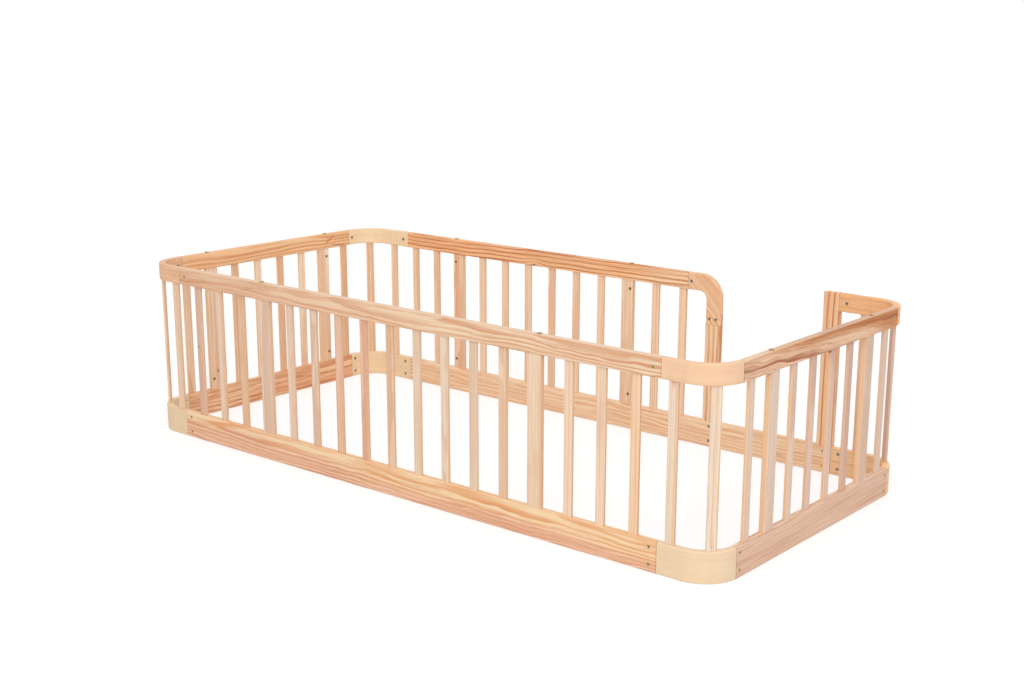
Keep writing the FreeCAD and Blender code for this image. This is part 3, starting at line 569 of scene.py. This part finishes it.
# painted shade: the mask of the drive recesses, dark in each socket
def recessShadeMask(graph, x, y, z, where):
    if where == "top":
        return graph.fade(z, *recessShadeZones[where])
    if where == "pins":
        size, heads = recessShadeZones[where]
        spots = [graph.fade(graph.distance(x - headX, y - headY, z - headZ), *size)
                 for headX, headY, headZ in heads]
        mask = spots[0]
        for spot in spots[1:]:
            mask = mask.math("MAXIMUM", spot)
        return mask
    (sideways, lengthways), limits = recessShadeZones[where]
    depth = (abs(y) - sideways).math("MAXIMUM", abs(x) - lengthways)
    return graph.fade(depth, *limits) if where == "outer" else graph.step(depth, *limits)


def steel(name, tone, roughness, worn, metallic, where):
    graph = material(name + "_steel")
    x, y, z = graph.place()
    speckle = graph.noise(x * 0.8, y * 0.8, z * 0.8, detail=3.0)
    colour = graph.blend(graph.step(speckle, 0.4, 0.7) * worn, paint(*tone),
                         paint(*metal["worn"]))
    if where:
        # painted shade darkens the drive recess
        colour = graph.blend(recessShadeMask(graph, x, y, z, where), colour, paint(*metal["recessShade"]))
    return graph.finish(colour, speckle * 0.2 + roughness, speckle, metal["relief"],
                        metal=metallic)


for name, look in fasteners.items():
    wear(name, steel(name, *look))
print("steel finished")


light = {
    "world": 0.5,
    # the big soft lamp: its share of a face's light, place and aim in m, size and tint
    "key": (0.2, (2.2, -3.6, 2.6), (0.2, 0.0, 0.2), 2.4, (1.0, 0.985, 0.955)),
    # each sun: its share, the direction that it shines from, its softness and tint
    "suns": {
        "front": (0.15, (0.1, -0.8, 0.6), 60, (1.0, 0.985, 0.955)),
        "fill": (0.2, (0.85, -0.25, 0.45), 70, (0.96, 0.99, 1.1)),
        "top": (0.24, (0.0, 0.1, 1.0), 90, (1.0, 1.0, 1.0)),
    },
}
ground = {
    "size": 60,                # m
    "drop": 0.0005,            # m that it lies below the frame
    "pale": 0.8,               # its grey, as the lamps see it
    "lit": 0.42,               # and as the camera sees it, over the glow
    "glow": 0.62,
}


def grey(level):
    return (level, level, level, 1)


def studioFloor():
    graph = material("studio_floor")
    plain = graph.add("ShaderNodeBsdfDiffuse", values={"Color": grey(ground["pale"])})
    glow = graph.add("ShaderNodeEmission", values={"Color": grey(1), "Strength": ground["glow"]})
    lit = graph.add("ShaderNodeBsdfDiffuse", values={"Color": grey(ground["lit"])})
    bright = graph.add("ShaderNodeAddShader", values=[glow, lit])
    surface = graph.add("ShaderNodeMixShader", values=[graph.seen(), plain, bright])
    graph.add("ShaderNodeOutputMaterial", values={"Surface": surface})
    return graph.owner


bpy.ops.object.select_all(action="DESELECT")
bpy.ops.mesh.primitive_plane_add(size=ground["size"], location=(0, 0, -ground["drop"]))
floor = bpy.context.object
floor.name = "studio_floor"
floor.data.materials.append(studioFloor())

# the world lights the object plainly, and is white where the camera sees it
world = bpy.data.worlds.new("studio")
bpy.context.scene.world = world
graph = Graph(world)
plain, white = [graph.add("ShaderNodeBackground", values={"Color": grey(1), "Strength": strength})
                for strength in (light["world"], 1.0)]
surface = graph.add("ShaderNodeMixShader", values=[graph.seen(), plain, white])
graph.add("ShaderNodeOutputWorld", values={"Surface": surface})


# a lamp that shines from the given direction
def hang(name, lamp, tint, direction, place=(0, 0, 3)):
    lamp.color = tint
    thing = bpy.data.objects.new(name, lamp)
    bpy.context.scene.collection.objects.link(thing)
    thing.location = place
    thing.rotation_euler = (-Vector(direction)).to_track_quat("-Z", "Y").to_euler()


share, place, aim, size, tint = light["key"]
away = Vector(place) - Vector(aim)
lamp = bpy.data.lights.new("key", "AREA")
lamp.shape = "DISK"
lamp.size = size
lamp.energy = share * math.pi ** 2 * away.length ** 2
hang("key", lamp, tint, away, place)
for name, (share, direction, softness, tint) in light["suns"].items():
    lamp = bpy.data.lights.new(name, "SUN")
    lamp.energy = share * math.pi
    lamp.angle = math.radians(softness)
    hang(name, lamp, tint, direction)

# fitted to the photograph: the place in m, and the ways that its right, down and depth point
view = {
    "place": (2.63744, -3.10872, 1.29117),
    "right": (0.775846, 0.630899, 0.005395),
    "down": (0.15947, -0.187819, -0.969171),
    "ahead": (-0.610436, 0.752788, -0.246328),
    "lens": 51.233,
    "sensor": 36,
    "shift": (-0.02331, 0.02823),
    "reach": 100,
}
cameraData = bpy.data.cameras.new("camera")
camera = bpy.data.objects.new("camera", cameraData)
bpy.context.scene.collection.objects.link(camera)
columns = [Vector(view["right"]), -Vector(view["down"]), -Vector(view["ahead"])]
turn = Matrix([[column[row] for column in columns] for row in range(3)])
camera.matrix_world = Matrix.Translation(view["place"]) @ turn.to_4x4()
cameraData.sensor_width = view["sensor"]
cameraData.lens = view["lens"]
cameraData.shift_x, cameraData.shift_y = view["shift"]
cameraData.clip_end = view["reach"]
bpy.context.scene.camera = camera
bpy.context.scene.view_settings.view_transform = "Standard"
print("floor, light and camera set")
